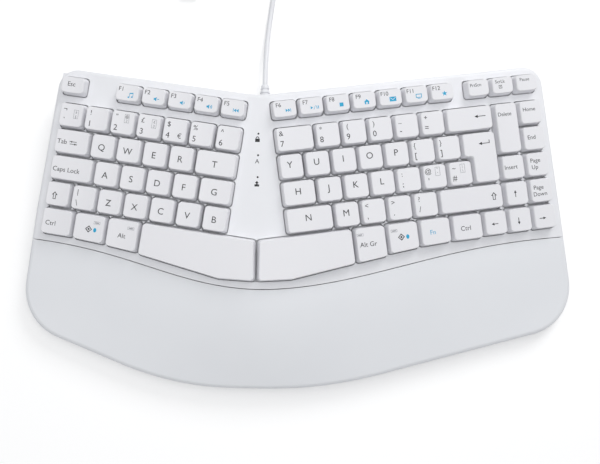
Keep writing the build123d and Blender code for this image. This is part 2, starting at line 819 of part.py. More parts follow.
# Tilt feet, folded flat into their pockets
foot_parts = {}
for name, (x, y) in foot_places.items():
    with BuildPart() as tilt_foot:
        with BuildSketch(Plane((split_x + x, split_y + y, foot_axis), x_dir=(0, 1, 0), z_dir=(1, 0, 0))):
            Circle(foot_thickness / 2)
            with Locations((foot_length / 2, 0)):
                Rectangle(foot_length, foot_thickness)
        extrude(amount=foot_width / 2, both=True)
        with Locations((split_x + x, split_y + y, foot_axis)):
            Cylinder(foot_pin_radius, foot_width + 2 * (foot_clearance + foot_pin_reach), rotation=(0, 90, 0))
    foot_parts[name] = tilt_foot.part

# Strain relief: flange inside the rear wall and a ringed taper outside it
exit_x = split_x + cable_exit_offset
wall_y = split_y + rear_line(cable_exit_offset)
relief_start = wall_y - case_wall - relief_flange_gap - relief_flange_thickness
relief_tip = cord_route[0][1]
with BuildPart() as strain_relief:
    with BuildSketch(Plane((exit_x, 0, cable_exit_height), x_dir=(1, 0, 0), z_dir=(0, 0, 1))):
        with BuildLine():
            Polyline((0, relief_start), (relief_flange_radius, relief_start),
                     (relief_flange_radius, relief_start + relief_flange_thickness),
                     (relief_root_radius, relief_start + relief_flange_thickness),
                     (relief_root_radius, wall_y + relief_flange_thickness),
                     (relief_tip_radius, relief_tip), (0, relief_tip), close=True)
        make_face()
    revolve(axis=Axis((exit_x, 0, cable_exit_height), (0, 1, 0)))
    for ring in range(relief_rings):
        ring_y = wall_y + (relief_tip - wall_y) * (ring + 1) / (relief_rings + 1)
        ring_share = (ring_y - wall_y) / (relief_tip - wall_y)
        ring_radius = relief_root_radius + (relief_tip_radius - relief_root_radius) * ring_share
        with BuildSketch(Plane((exit_x, ring_y, cable_exit_height), x_dir=(1, 0, 0), z_dir=(0, -1, 0))):
            Circle(relief_root_radius + overrun)
            Circle(ring_radius - relief_ring_depth, mode=Mode.SUBTRACT)
        extrude(amount=relief_ring_width / 2, both=True, mode=Mode.SUBTRACT)


def corner_radii(points):
    """Radius of each bend of a route, from the shorter run beside it and half its turn."""
    radii = []
    for before, here, after in zip(points, points[1:], points[2:]):
        come, go = Vector(*here) - Vector(*before), Vector(*after) - Vector(*here)
        half_turn = radians(come.get_angle(go)) / 2
        radii.append(bend_run_share * min(come.length, go.length) / tan(half_turn))
    return radii


# Free stretch of the cord
route_radii = corner_radii(cord_route)
with BuildPart() as usb_cable:
    with BuildLine() as cable_path:
        FilletPolyline(*cord_route, radius=route_radii)
    with BuildSketch(Plane(cord_route[0], z_dir=Vector(*cord_route[1]) - Vector(*cord_route[0]))):
        Circle(cable_diameter / 2)
    sweep()
cable_length = cable_path.wires()[0].length
print("cord radii", [round(radius) for radius in route_radii])
print("cord volume", round(usb_cable.part.volume, 1),
      "of", round(pi * (cable_diameter / 2) ** 2 * cable_length, 1), "length", round(cable_length, 1))

# Coil of the rest of the cord: half turns spiral in and out, and climb where they reverse
wind_step = cable_diameter + coil_gap
coil_x, coil_y, coil_z = cord_route[-1]
plug_middle = plug_height / 2


def half_turn(start, heading, radius, rise):
    """One half turn about the coil's axis as (start, end, tangent) arcs, two where it climbs."""
    end = Vector(start.X - 2 * heading * radius, start.Y, start.Z + rise)
    tangent = Vector(0, heading, 0)
    if not rise:
        return [(start, end, tangent)]
    reach = sqrt(radius ** 2 + rise ** 2 / 4)
    first_pull, last_pull = start + tangent * reach, end + tangent * reach
    middle = (first_pull + last_pull) / 2
    return [(start, middle, tangent), (middle, end, last_pull - first_pull)]


coil_arcs = []
place = Vector(coil_x, coil_y + cable_diameter, coil_z)
half_turns = coil_layers * coil_steps + 3
for turn in range(half_turns):
    phase = turn % (2 * coil_steps)
    wound = coil_layers * coil_steps
    drawn_in = min(phase, 2 * coil_steps - phase) if turn < wound else wound - turn
    rise = wind_step if turn % coil_steps == 0 and 0 < turn < coil_layers * coil_steps else 0
    if turn == half_turns - 1:
        rise = plug_middle - place.Z
    arcs = half_turn(place, 1 if turn % 2 == 0 else -1, coil_first_radius - drawn_in * wind_step / 2, rise)
    coil_arcs.extend(arcs)
    place = arcs[-1][1]
coil_end = place + Vector(0, -coil_tail, 0)
with BuildPart() as cable_coil:
    with BuildLine() as coil_path:
        Line(cord_route[-1], coil_arcs[0][0])
        for start, end, tangent in coil_arcs:
            TangentArc(start, end, tangent=tangent)
        Line(place, coil_end)
    with BuildSketch(Plane(cord_route[-1], z_dir=(0, 1, 0))):
        Circle(cable_diameter / 2)
    sweep()
coil_length = coil_path.wires()[0].length
samples = [coil_path.wires()[0].position_at(i * wind_step / coil_length / 2)
           for i in range(int(2 * coil_length / wind_step))]
least = min((a - b).length for i, a in enumerate(samples) for b in samples[i + gap_sample_steps:])
print("coil length", round(coil_length), "loops", half_turns / 2, "least gap", round(least - cable_diameter, 2))
print("coil volume", round(cable_coil.part.volume), "of", round(pi * (cable_diameter / 2) ** 2 * coil_length))

# Plug that lies beside the coil, its open end towards the body
with BuildPart() as usb_plug_housing:
    with BuildSketch(Plane(coil_end, x_dir=(1, 0, 0), z_dir=(0, -1, 0))) as back:
        Rectangle(plug_width, plug_height)
        fillet(back.vertices(), plug_radius)
    extrude(amount=plug_length)
    fillet(usb_plug_housing.faces().sort_by(Axis.Y)[-1].edges(), plug_radius / 2)
shell_start = coil_end + Vector(0, -plug_length, 0)
with BuildPart() as usb_plug_shell:
    with BuildSketch(Plane(shell_start, x_dir=(1, 0, 0), z_dir=(0, -1, 0))):
        Rectangle(shell_width, shell_height)
        Rectangle(shell_width - 2 * shell_wall, shell_height - 2 * shell_wall, mode=Mode.SUBTRACT)
    extrude(amount=shell_length)
with BuildPart() as usb_plug_tongue:
    with BuildSketch(Plane(shell_start, x_dir=(1, 0, 0), z_dir=(0, -1, 0))):
        with Locations((0, shell_height / 2 - shell_wall - tongue_height / 2)):
            Rectangle(tongue_width, tongue_height)
    extrude(amount=tongue_length)

# Every node goes to its own file
nodes = {
    **key_parts,
    "top_case": top_case.part,
    "palm_rest": palm_rest.part,
    "bottom_case": bottom_case.part,
    "rubber_dome_sheet": rubber_dome_sheet.part,
    "membrane_circuit": membrane_circuit.part,
    "support_plate": support_plate.part,
    "controller_board": controller_board.part,
    "indicator_lenses": indicator_lenses.part,
    "case_screws": case_screws.part,
    "rubber_feet": rubber_feet.part,
    "tilt_foot_left": foot_parts["left"],
    "tilt_foot_right": foot_parts["right"],
    "strain_relief": strain_relief.part,
    "usb_cable": usb_cable.part,
    "cable_coil": cable_coil.part,
    "usb_plug_housing": usb_plug_housing.part,
    "usb_plug_shell": usb_plug_shell.part,
    "usb_plug_tongue": usb_plug_tongue.part,
}
os.makedirs("parts", exist_ok=True)
for name, part in nodes.items():
    part.label = name
    export_step(part, f"parts/{name}.step")
print("nodes", len(nodes), "split", round(split_x, 3), round(split_y, 3))
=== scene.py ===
# Ergonomic split keyboard, dressed over its solids. Everything is in metres.
from math import cos, pi, radians, sin, tan

import bpy
from mathutils import Matrix, Vector
from mathutils.bvhtree import BVHTree


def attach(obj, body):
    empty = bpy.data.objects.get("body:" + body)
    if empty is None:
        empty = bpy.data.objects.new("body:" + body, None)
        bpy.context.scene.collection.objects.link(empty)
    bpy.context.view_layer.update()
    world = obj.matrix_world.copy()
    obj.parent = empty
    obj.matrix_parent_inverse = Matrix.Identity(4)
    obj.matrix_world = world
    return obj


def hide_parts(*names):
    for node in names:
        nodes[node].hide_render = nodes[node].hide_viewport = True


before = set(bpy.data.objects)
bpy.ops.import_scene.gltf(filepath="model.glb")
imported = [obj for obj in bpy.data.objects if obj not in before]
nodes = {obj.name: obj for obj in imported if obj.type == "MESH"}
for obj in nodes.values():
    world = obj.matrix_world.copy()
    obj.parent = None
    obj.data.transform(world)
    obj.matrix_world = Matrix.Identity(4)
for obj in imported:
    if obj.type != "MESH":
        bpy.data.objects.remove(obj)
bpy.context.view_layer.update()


# Camera: almost straight above the split between the two banks, a little to the
# front, and turned by a degree. The keyboard's middle lies right of its axis.
split = Vector((-0.032188, 0.002115, 0.0))
aim = split + Vector((0, 0, 0.009))
rise, swing, roll = radians(83), radians(-0.76), radians(-0.97)
camera_back = Vector((sin(swing) * sin(rise), -cos(rise), cos(swing) * sin(rise))).normalized()
level_right = Vector((0, 1, 0)).cross(camera_back).normalized()
level_up = camera_back.cross(level_right)
camera_right = cos(roll) * level_right - sin(roll) * level_up
camera_up = camera_back.cross(camera_right)
lens = bpy.data.cameras.new("desk_camera")
lens.sensor_width = 36
lens.lens = 38.74
lens.shift_x = 0.0728
lens.shift_y = -0.0167
camera_distance = 0.48
camera = bpy.data.objects.new("desk_camera", lens)
bpy.context.collection.objects.link(camera)
camera.matrix_world = Matrix.Translation(aim + camera_distance * camera_back) @ Matrix(
    (camera_right, camera_up, camera_back)).transposed().to_4x4()
bpy.context.scene.camera = camera


# Cord: white round lead of soft vinyl, 3.8 mm thick and 1.8 m long. A short stretch
# runs back over the desk, and the rest is wound into a neat coil on four layers.
def shader(name):
    """A new material with its shader, and the function that adds a node and its settings."""
    material = bpy.data.materials.new(name)
    material.use_nodes = True
    tree = material.node_tree
    surface = tree.nodes["Principled BSDF"]

    def node(kind, **settings):
        made = tree.nodes.new(kind)
        for key, value in settings.items():
            setattr(made, key, value)
        return made

    return material, tree.links.new, surface, node


def new_group(name, inputs, outputs):
    """A shader node group with named sockets, and its two end nodes."""
    group = bpy.data.node_groups.new(name, "ShaderNodeTree")
    for label, value in inputs.items():
        group.interface.new_socket(label, in_out="INPUT", socket_type="NodeSocketFloat").default_value = value
    for label in outputs:
        group.interface.new_socket(label, in_out="OUTPUT", socket_type="NodeSocketFloat")
    return group, group.nodes.new("NodeGroupInput"), group.nodes.new("NodeGroupOutput")


# Fine spark-eroded grain of a mould, and slow patches of slightly different shade
grain, grain_in, grain_out = new_group(
    "mould_grain", {"Scale": 2600.0, "Patch Scale": 16.0}, ("Height", "Patches"))
grain_place = grain.nodes.new("ShaderNodeTexCoord")
for socket, out, detail in (("Scale", "Height", 2.0), ("Patch Scale", "Patches", 3.0)):
    noise = grain.nodes.new("ShaderNodeTexNoise")
    noise.inputs["Detail"].default_value = detail
    grain.links.new(grain_place.outputs["Object"], noise.inputs["Vector"])
    grain.links.new(grain_in.outputs[socket], noise.inputs["Scale"])
    grain.links.new(noise.outputs["Fac"], grain_out.inputs[out])

# Painted highlight on edges: a lighter colour where a rounded normal leaves the real one, broken up by noise
edge_highlight, edge_highlight_in, edge_highlight_out = new_group("painted_edge_highlight", {"Radius": 0.0006, "Gain": 8.0}, ("Mask",))
highlight_bevel = edge_highlight.nodes.new("ShaderNodeBevel")
highlight_bevel.samples = 6
highlight_geometry = edge_highlight.nodes.new("ShaderNodeNewGeometry")
highlight_dot = edge_highlight.nodes.new("ShaderNodeVectorMath")
highlight_dot.operation = "DOT_PRODUCT"
highlight_turn = edge_highlight.nodes.new("ShaderNodeMath")
highlight_turn.operation = "SUBTRACT"
highlight_turn.inputs[0].default_value = 1.0
highlight_gain = edge_highlight.nodes.new("ShaderNodeMath")
highlight_gain.operation = "MULTIPLY"
highlight_gain.use_clamp = True
highlight_noise = edge_highlight.nodes.new("ShaderNodeTexNoise")
highlight_noise.inputs["Scale"].default_value = 220.0
highlight_place = edge_highlight.nodes.new("ShaderNodeTexCoord")
highlight_break = edge_highlight.nodes.new("ShaderNodeMath")
highlight_break.operation = "MULTIPLY"
for source, target in (
    (edge_highlight_in.outputs["Radius"], highlight_bevel.inputs["Radius"]),
    (highlight_bevel.outputs["Normal"], highlight_dot.inputs[0]),
    (highlight_geometry.outputs["Normal"], highlight_dot.inputs[1]),
    (highlight_dot.outputs["Value"], highlight_turn.inputs[1]),
    (highlight_turn.outputs["Value"], highlight_gain.inputs[0]),
    (edge_highlight_in.outputs["Gain"], highlight_gain.inputs[1]),
    (highlight_place.outputs["Object"], highlight_noise.inputs["Vector"]),
    (highlight_gain.outputs["Value"], highlight_break.inputs[0]),
    (highlight_noise.outputs["Fac"], highlight_break.inputs[1]),
    (highlight_break.outputs["Value"], edge_highlight_out.inputs["Mask"]),
):
    edge_highlight.links.new(source, target)


def colour(red, green, blue):
    """A shade written as it looks on screen, from 0 to 255, in the shader's own numbers."""
    shares = [c / 255 for c in (red, green, blue)]
    shades = [((share + 0.055) / 1.055) ** 2.4 if share > 0.04045 else share / 12.92 for share in shares]
    return shades + [1.0]


def moulding(name, shade, patch_shade, painted_highlight_shade, rough, grain_scale, grain_depth,
             edge_radius=0.0006, edge_gain=8.0):
    """Moulded plastic or rubber: its shade with faint patches, a painted highlight on its edges and the
    mould's grain.
    """
    material, link, surface, node = shader(name)
    texture = node("ShaderNodeGroup", node_tree=grain)
    texture.inputs["Scale"].default_value = grain_scale
    edges = node("ShaderNodeGroup", node_tree=edge_highlight)
    edges.inputs["Radius"].default_value = edge_radius
    edges.inputs["Gain"].default_value = edge_gain
    patches = node("ShaderNodeMix", data_type="RGBA")
    patches.inputs["A"].default_value = shade
    patches.inputs["B"].default_value = patch_shade
    # Painted highlight: the edges take the lighter highlight shade where the edge mask is high
    highlighted_edges = node("ShaderNodeMix", data_type="RGBA")
    highlighted_edges.inputs["B"].default_value = painted_highlight_shade
    shine = node("ShaderNodeMapRange")
    shine.inputs["To Min"].default_value = rough - 0.05
    shine.inputs["To Max"].default_value = rough + 0.06
    bump = node("ShaderNodeBump")
    bump.inputs["Strength"].default_value = 0.35
    bump.inputs["Distance"].default_value = grain_depth
    link(texture.outputs["Patches"], patches.inputs["Factor"])
    link(patches.outputs["Result"], highlighted_edges.inputs["A"])
    link(edges.outputs["Mask"], highlighted_edges.inputs["Factor"])
    link(highlighted_edges.outputs["Result"], surface.inputs["Base Color"])
    link(texture.outputs["Patches"], shine.inputs["Value"])
    link(shine.outputs["Result"], surface.inputs["Roughness"])
    link(texture.outputs["Height"], bump.inputs["Height"])
    link(bump.outputs["Normal"], surface.inputs["Normal"])
    return material


def dress(material, *names):
    """Give these solids a material."""
    for name in names:
        nodes[name].data.materials.clear()
        nodes[name].data.materials.append(material)


# Each moulding's third shade is the painted highlight laid on its edges
vinyl = moulding("white_vinyl", colour(232, 233, 236), colour(222, 223, 227), colour(240, 240, 242),
                 0.42, 1800.0, 0.00004)
run_points = [
    (-0.0273, 0.106, 0.0116), (-0.0273, 0.120, 0.0116), (-0.0262, 0.141, 0.0049), (-0.024, 0.164, 0.0019),
    (-0.0204, 0.188, 0.00195), (-0.019, 0.212, 0.0019), (-0.019, 0.234, 0.0019),
]
cord_radius, wind_step, first_radius, plug_height = 0.0019, 0.0043, 0.0272, 0.0039
layer_turns, layers, half_turns = 5, 4, 23
wound, half_step = layers * layer_turns, radians(15)
turn_x, turn_y, turn_z = -0.019, 0.234 + 2 * cord_radius, cord_radius
for turn in range(half_turns):
    phase = turn % (2 * layer_turns)
    drawn_in = min(phase, 2 * layer_turns - phase) if turn < wound else wound - turn
    climb = wind_step if turn % layer_turns == 0 and 0 < turn < wound else 0.0
    if turn == half_turns - 1:
        climb = plug_height - turn_z
    radius = first_radius - drawn_in * wind_step / 2
    heading = 1 if turn % 2 == 0 else -1
    for step in range(6):
        angle = radians(15 + 30 * step)
        run_points.append((
            turn_x - heading * radius * (1 - cos(angle) / cos(half_step)),
            turn_y + heading * radius * sin(angle) / cos(half_step),
            turn_z + climb * (1 - cos(angle)) / 2,
        ))
    turn_x -= 2 * heading * radius
    turn_z += climb
run_points += [(turn_x, turn_y - 0.009, turn_z), (turn_x, turn_y - 0.018, turn_z)]
cord_line = bpy.data.curves.new("cord", "CURVE")
cord_line.dimensions = "3D"
cord_line.bevel_depth = cord_radius
cord_line.bevel_resolution = 4
cord_line.resolution_u = 6
cord_line.use_fill_caps = True
strand = cord_line.splines.new("NURBS")
strand.points.add(len(run_points) - 1)
for point, place in zip(strand.points, run_points):
    point.co = (*place, 1.0)
strand.order_u = 3
strand.use_endpoint_u = True
cord_line.materials.append(vinyl)
cord = bpy.data.objects.new("cord", cord_line)
bpy.context.collection.objects.link(cord)
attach(cord, "case")
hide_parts("usb_cable", "cable_coil")


# Strain relief and plug: the relief is a ribbed cone of the cord's vinyl moulded over
# its end. The plug has a vinyl grip, a folded steel shell and a plastic tongue in it.
dress(vinyl, "strain_relief")
dress(moulding("plug_grip", colour(228, 229, 233), colour(219, 220, 225), colour(238, 238, 240),
               0.45, 1500.0, 0.00006), "usb_plug_housing")
dress(moulding("plug_tongue", colour(236, 236, 232), colour(228, 228, 224), colour(242, 242, 240),
               0.38, 2600.0, 0.00002), "usb_plug_tongue")


def sheet_metal(name, shade, rough, scratch_scale):
    """Pressed sheet metal with faint rolling scratches along one direction."""
    material, link, surface, node = shader(name)
    surface.inputs["Base Color"].default_value = shade
    surface.inputs["Metallic"].default_value = 1.0
    place = node("ShaderNodeTexCoord")
    stretch = node("ShaderNodeMapping")
    stretch.inputs["Scale"].default_value = (1.0, 0.04, 1.0)
    scratches = node("ShaderNodeTexNoise")
    scratches.inputs["Scale"].default_value = scratch_scale
    scratches.inputs["Detail"].default_value = 4.0
    shine = node("ShaderNodeMapRange")
    shine.inputs["To Min"].default_value = rough - 0.07
    shine.inputs["To Max"].default_value = rough + 0.12
    bump = node("ShaderNodeBump")
    bump.inputs["Strength"].default_value = 0.2
    bump.inputs["Distance"].default_value = 0.00002
    link(place.outputs["Object"], stretch.inputs["Vector"])
    link(stretch.outputs["Vector"], scratches.inputs["Vector"])
    link(scratches.outputs["Fac"], shine.inputs["Value"])
    link(shine.outputs["Result"], surface.inputs["Roughness"])
    link(scratches.outputs["Fac"], bump.inputs["Height"])
    link(bump.outputs["Normal"], surface.inputs["Normal"])
    return material


dress(sheet_metal("plated_steel", colour(214, 214, 212), 0.28, 3000.0), "usb_plug_shell", "case_screws")


# Upper case: one moulding of cool white satin plastic with a well round every key
# block. The seam in front of the bottom row parts it from the palm rest.
dress(moulding("upper_case_white", colour(238, 239, 242), colour(232, 233, 237), colour(245, 245, 247),
               0.46, 2600.0, 0.00005), "top_case")


# Palm rest: its own moulding of the same plastic, a shade greyer, with a fine grain
dress(moulding("palm_rest_white", colour(236, 238, 241), colour(230, 232, 236), colour(244, 244, 246),
               0.5, 2200.0, 0.00007), "palm_rest")


# Lower case: grey-white tray with pods for the screws, two fold-out feet that
# turn on pins moulded to them, and six rubber pads glued into shallow rings.
dress(moulding("lower_case_white", colour(214, 216, 221), colour(206, 208, 214), colour(232, 233, 236),
               0.52, 1600.0, 0.00009), "bottom_case", "tilt_foot_left", "tilt_foot_right")
dress(moulding("pad_rubber", colour(78, 79, 82), colour(66, 67, 70), colour(112, 112, 114),
               0.78, 900.0, 0.0001), "rubber_feet")


# Inside, under the keys: a sheet of rubber domes, the printed contact film, a steel
# plate and the controller board. Only a gap beside a key would show them.
dress(moulding("dome_rubber", colour(196, 198, 200), colour(184, 186, 189), colour(214, 215, 217),
               0.6, 1200.0, 0.00006), "rubber_dome_sheet")
dress(moulding("contact_film", colour(196, 202, 190), colour(150, 160, 150), colour(214, 218, 210),
               0.3, 420.0, 0.00001), "membrane_circuit")
dress(moulding("board_laminate", colour(34, 92, 58), colour(26, 76, 48), colour(120, 140, 90),
               0.4, 500.0, 0.00003), "controller_board")
dress(sheet_metal("galvanised_plate", colour(186, 188, 190), 0.42, 400.0), "support_plate")


# Keycaps: satin white caps, dished along the row, with sloped sides. Their legends are
# printed in dark grey, and the second functions of the top row in blue.
dress(moulding("keycap_white", colour(238, 238, 241), colour(232, 232, 236), colour(248, 248, 249),
               0.4, 2800.0, 0.00004, 0.0005), *[name for name in nodes if name.startswith("key")])


def print_ink(name, shade, thin_shade):
    """Pad-printed ink: slightly uneven cover and a satin shine."""
    material, link, surface, node = shader(name)
    texture = node("ShaderNodeGroup", node_tree=grain)
    texture.inputs["Scale"].default_value = 2200.0
    texture.inputs["Patch Scale"].default_value = 400.0
    cover = node("ShaderNodeMix", data_type="RGBA")
    cover.inputs["A"].default_value = shade
    cover.inputs["B"].default_value = thin_shade
    bump = node("ShaderNodeBump")
    bump.inputs["Strength"].default_value = 0.3
    bump.inputs["Distance"].default_value = 0.00001
    surface.inputs["Roughness"].default_value = 0.5
    link(texture.outputs["Patches"], cover.inputs["Factor"])
    link(cover.outputs["Result"], surface.inputs["Base Color"])
    link(texture.outputs["Height"], bump.inputs["Height"])
    link(bump.outputs["Normal"], surface.inputs["Normal"])
    return material


inks = [
    print_ink("dark_ink", colour(24, 25, 29), colour(38, 39, 44)),
    print_ink("blue_ink", colour(14, 158, 204), colour(40, 174, 214)),
    print_ink("grey_ink", colour(112, 114, 120), colour(134, 136, 142)),
]
dark, blue, grey = range(3)
pitch, inner = 0.01905, 0.0186
turned, slope = radians(8.65), tan(radians(5))
tent = {-1: tan(radians(6)), 1: tan(radians(4.5))}
left, right = -1, 1
bank_frames = {}
for side in (left, right):
    outward = Vector((side * tent[side], -slope, 1)).normalized()
    along = Vector((cos(turned), side * sin(turned), side * (slope * sin(turned) - tent[side] * cos(turned))))
    along = (along - outward * along.dot(outward)).normalized()
    bank_frames[side] = (split + Vector((0, 0, 0.037)), along, outward.cross(along), outward)


def flat_shape(name, outlines):
    """A flat filled shape of closed outlines, in which an outline inside another is a hole."""
    made = bpy.data.curves.new(name, "CURVE")
    made.dimensions = "2D"
    made.fill_mode = "BOTH"
    for outline in outlines:
        spline = made.splines.new("POLY")
        spline.points.add(len(outline) - 1)
        spline.use_cyclic_u = True
        for point, (x, y) in zip(spline.points, outline):
            point.co = (x, y, 0, 1)
    return made


def lettering(text):
    """Flat letters whose capitals stand one unit high from the base line."""
    made = bpy.data.curves.new("lettering", "FONT")
    made.body = text
    made.align_x = "CENTER"
    made.resolution_u = 4
    made.size = 1 / 0.729
    return made


def mesh_points(curve):
    """Points and faces of a flat shape that is extruded by one unit each way."""
    curve.extrude = 1.0
    holder = bpy.data.objects.new("holder", curve)
    bpy.context.collection.objects.link(holder)
    made = bpy.data.meshes.new_from_object(holder.evaluated_get(bpy.context.evaluated_depsgraph_get()))
    points = [v.co.copy() for v in made.vertices]
    faces = [tuple(p.vertices) for p in made.polygons]
    bpy.data.objects.remove(holder)
    bpy.data.meshes.remove(made)
    bpy.data.curves.remove(curve)
    return points, faces


def ring(x, y, wide, high=None, count=24):
    """Round or oval outline about a point."""
    angles = [2 * pi * i / count for i in range(count)]
    return [(x + wide * cos(angle), y + (high or wide) * sin(angle)) for angle in angles]


def bar(left_x, low_y, right_x, high_y):
    """Rectangular outline."""
    return [(left_x, low_y), (right_x, low_y), (right_x, high_y), (left_x, high_y)]


def arrow(length, head, half_line, quarter_turns=0, hook=0.0):
    """Outline of a line with a solid head to the left, turned by quarter turns."""
    end = length / 2
    barb = head * 0.45
    outline = [(-end, 0), (head - end, barb), (head - end, half_line)]
    if hook:
        outline += [(end - 2 * half_line, half_line), (end - 2 * half_line, hook), (end, hook)]
    else:
        outline += [(end, half_line)]
    outline += [(end, -half_line), (head - end, -half_line), (head - end, -barb)]
    for _ in range(quarter_turns):
        outline = [(y, -x) for x, y in outline]
    return outline


speaker = [(-1.5, -0.5), (-0.9, -0.5), (0.0, -1.2), (0.0, 1.2), (-0.9, 0.5), (-1.5, 0.5)]


def wave(reach):
    """Curved bar of sound beside the speaker."""
    outer = [(reach * cos(radians(a)), reach * sin(radians(a))) for a in range(-45, 46, 15)]
    return outer + [(x * (reach - 0.35) / reach, y * (reach - 0.35) / reach) for x, y in outer[::-1]]


symbols = {
    "notes": [ring(-0.9, -1.1, 0.55, 0.42), ring(1.0, -0.8, 0.55, 0.42),
              [(-0.62, -1.1), (-0.36, -1.1), (-0.36, 0.75), (1.28, 1.0), (1.28, -0.8), (1.54, -0.8),
               (1.54, 1.6), (-0.62, 1.3)]],
    "quiet": [speaker, bar(0.45, -0.18, 1.5, 0.18)],
    "softer": [speaker, wave(1.0)],
    "louder": [speaker, wave(0.9), wave(1.6)],
    "previous": [bar(-1.6, -1.0, -1.3, 1.0), [(-1.2, 0), (0.1, -1.0), (0.1, 1.0)],
                 [(0.15, 0), (1.5, -1.0), (1.5, 1.0)]],
    "next": [bar(1.3, -1.0, 1.6, 1.0), [(1.2, 0), (-0.1, 1.0), (-0.1, -1.0)],
             [(-0.15, 0), (-1.5, 1.0), (-1.5, -1.0)]],
    "play": [[(-2.6, -0.9), (-2.6, 0.9), (-1.1, 0)], [(-0.9, -1.1), (-0.6, -1.1), (0.5, 1.1), (0.2, 1.1)],
             bar(0.9, -0.9, 1.35, 0.9), bar(1.8, -0.9, 2.25, 0.9)],
    "stop": [bar(-1.15, -1.15, 1.15, 1.15)],
    "home": [[(-1.7, -0.05), (0, 1.6), (1.7, -0.05), (1.3, -0.05), (1.3, -1.4), (-1.3, -1.4), (-1.3, -0.05)],
             bar(-0.4, -1.2, 0.4, -0.2)],
    "letter": [bar(-2.0, -1.35, 2.0, 1.35),
               [(-1.6, 1.0), (0, -0.2), (1.6, 1.0), (1.6, 0.7), (0, -0.55), (-1.6, 0.7)]],
    "display": [bar(-1.8, -0.9, 1.8, 1.4), bar(-1.4, -0.5, 1.4, 1.0), bar(-0.9, -1.5, 0.9, -1.15)],
    "star": [[(reach * sin(pi * i / 5), reach * cos(pi * i / 5))
              for i, reach in enumerate((1.75, 0.72) * 5)]],
    "shift": [[(0, 2.7), (2.1, 0.3), (1.05, 0.3), (1.05, -2.7), (-1.05, -2.7), (-1.05, 0.3), (-2.1, 0.3)],
              [(0, 1.95), (0.95, 0.78), (0.58, 0.78), (0.58, -2.25), (-0.58, -2.25), (-0.58, 0.78),
               (-0.95, 0.78)]],
    "tab": [arrow(5.6, 1.7, 0.22), arrow(5.6, 1.7, 0.22, 2)],
    "back": [arrow(8.2, 2.5, 0.24)],
    "enter": [arrow(8.2, 2.5, 0.24, 0, 2.2)],
    "go_left": [arrow(5.0, 2.1, 0.24)],
    "go_up": [arrow(5.0, 2.1, 0.24, 1)],
    "go_right": [arrow(5.0, 2.1, 0.24, 2)],
    "go_down": [arrow(5.0, 2.1, 0.24, 3)],
    "scroll": [bar(-1.1, -1.1, 1.1, 1.1), bar(-0.8, -0.8, 0.8, 0.8), arrow(1.1, 0.7, 0.12, 3)],
    "system": [[(0, 2.5), (2.5, 0), (0, -2.5), (-2.5, 0)], [(0, 1.7), (1.7, 0), (0, -1.7), (-1.7, 0)],
               [(0, 0.9), (0.9, 0), (0, -0.9), (-0.9, 0)]],
    "menu": [ring(0, 0, 1.15, 1.6)],
    "tag": [bar(-2.3, -0.95, 2.3, 0.95), bar(-2.12, -0.77, 2.12, 0.77), bar(-1.4, -0.3, 1.4, 0.3)],
    "frame": [bar(-1.7, -3.1, 1.7, 3.1), bar(-1.52, -2.92, 1.52, 2.92)],
    "padlock": [bar(-1.25, -1.5, 1.25, 0.3),
                ring(0, 0.32, 0.95, 1.2)[:13] + ring(0, 0.32, 0.55, 0.8)[12::-1]],
    "scroll_lock": [[(0, 1.7), (1.1, 0.4), (0.4, 0.4), (0.4, -0.3), (1.3, -0.3), (1.3, -1.5), (-1.3, -1.5),
                     (-1.3, -0.3), (-0.4, -0.3), (-0.4, 0.4), (-1.1, 0.4)]],
}
symbols["tab"] = [[(x, y + 0.95) for x, y in symbols["tab"][0]], bar(-3.0, 0.2, -2.75, 1.7),
                  [(x, y - 0.95) for x, y in symbols["tab"][1]], bar(2.75, -1.7, 3.0, -0.2)]

# Each legend: node, bank, place along and across the rows in mm, height in mm, what, ink
legends = []
for node, side, row, start, letters in (
    ("key_t", left, 32.2, 5.7, "T"), ("keys_q_to_r", left, 32.2, 30.5, "REWQ"),
    ("key_g", left, 13.1, 2.9, "G"), ("keys_a_to_f", left, 13.1, 24.8, "FDSA"),
    ("keys_backslash_to_b", left, -5.9, 0.0, "BVCXZ"),
    ("keys_y_to_right_bracket", right, 32.2, -0.6, "YUIOP"),
    ("key_h", right, 13.1, 2.9, "H"), ("keys_j_to_hash", right, 13.1, 24.8, "JKL"),
    ("key_n", right, -5.9, 7.8, "N"), ("keys_m_to_slash", right, -5.9, 34.7, "M"),
):
    shift_u, shift_v = (-0.7, -0.6) if side == left else (-0.8, 1.1)
    for count, letter in enumerate(letters):
        u = 18.6 + start + 19.05 * (count + 0.5)
        legends.append((node, side, side * u + shift_u, row + shift_v, 4.7, letter, dark))
for node, side, row, start, pairs in (
    ("keys_grave_to_6", left, 51.2, 0.0, ("6^", "5%", "4$", "3£", '2"', "1!", "`¬")),
    ("keys_backslash_to_b", left, -5.9, 95.25, ("\\|",)),
    ("key_7", right, 51.2, 0.0, ("7&",)),
    ("keys_8_to_equals", right, 51.2, 28.2, ("8*", "9(", "0)", "-_", "=+")),
    ("keys_y_to_right_bracket", right, 32.2, 93.7, ("[{", "]}")),
    ("keys_j_to_hash", right, 13.1, 81.9, (";:", "'@", "#~")),
    ("keys_m_to_slash", right, -5.9, 53.7, (",<", ".>", "/?")),
):
    for count, (low, high) in enumerate(pairs):
        u = side * (18.6 + start + 19.05 * (count + 0.5)) + (-4.6 if side == left else -4.8)
        low_v, high_v = (-3.9, 3.9) if side == left else (-2.9, 4.2)
        legends.append((node, side, u, row + low_v, 4.2, low, dark))
        legends.append((node, side, u, row + high_v, 3.6, high, dark))
for count, symbol in enumerate(("previous", "louder", "softer", "quiet", "notes")):
    u = -(18.6 + 19.05 * (count + 0.5))
    legends.append(("keys_f1_to_f5", left, u - 4.7, 75.1, 3.1, "F%d" % (5 - count), dark))
    legends.append(("keys_f1_to_f5", left, u + 2.4, 70.9, 1.3, symbol, blue))
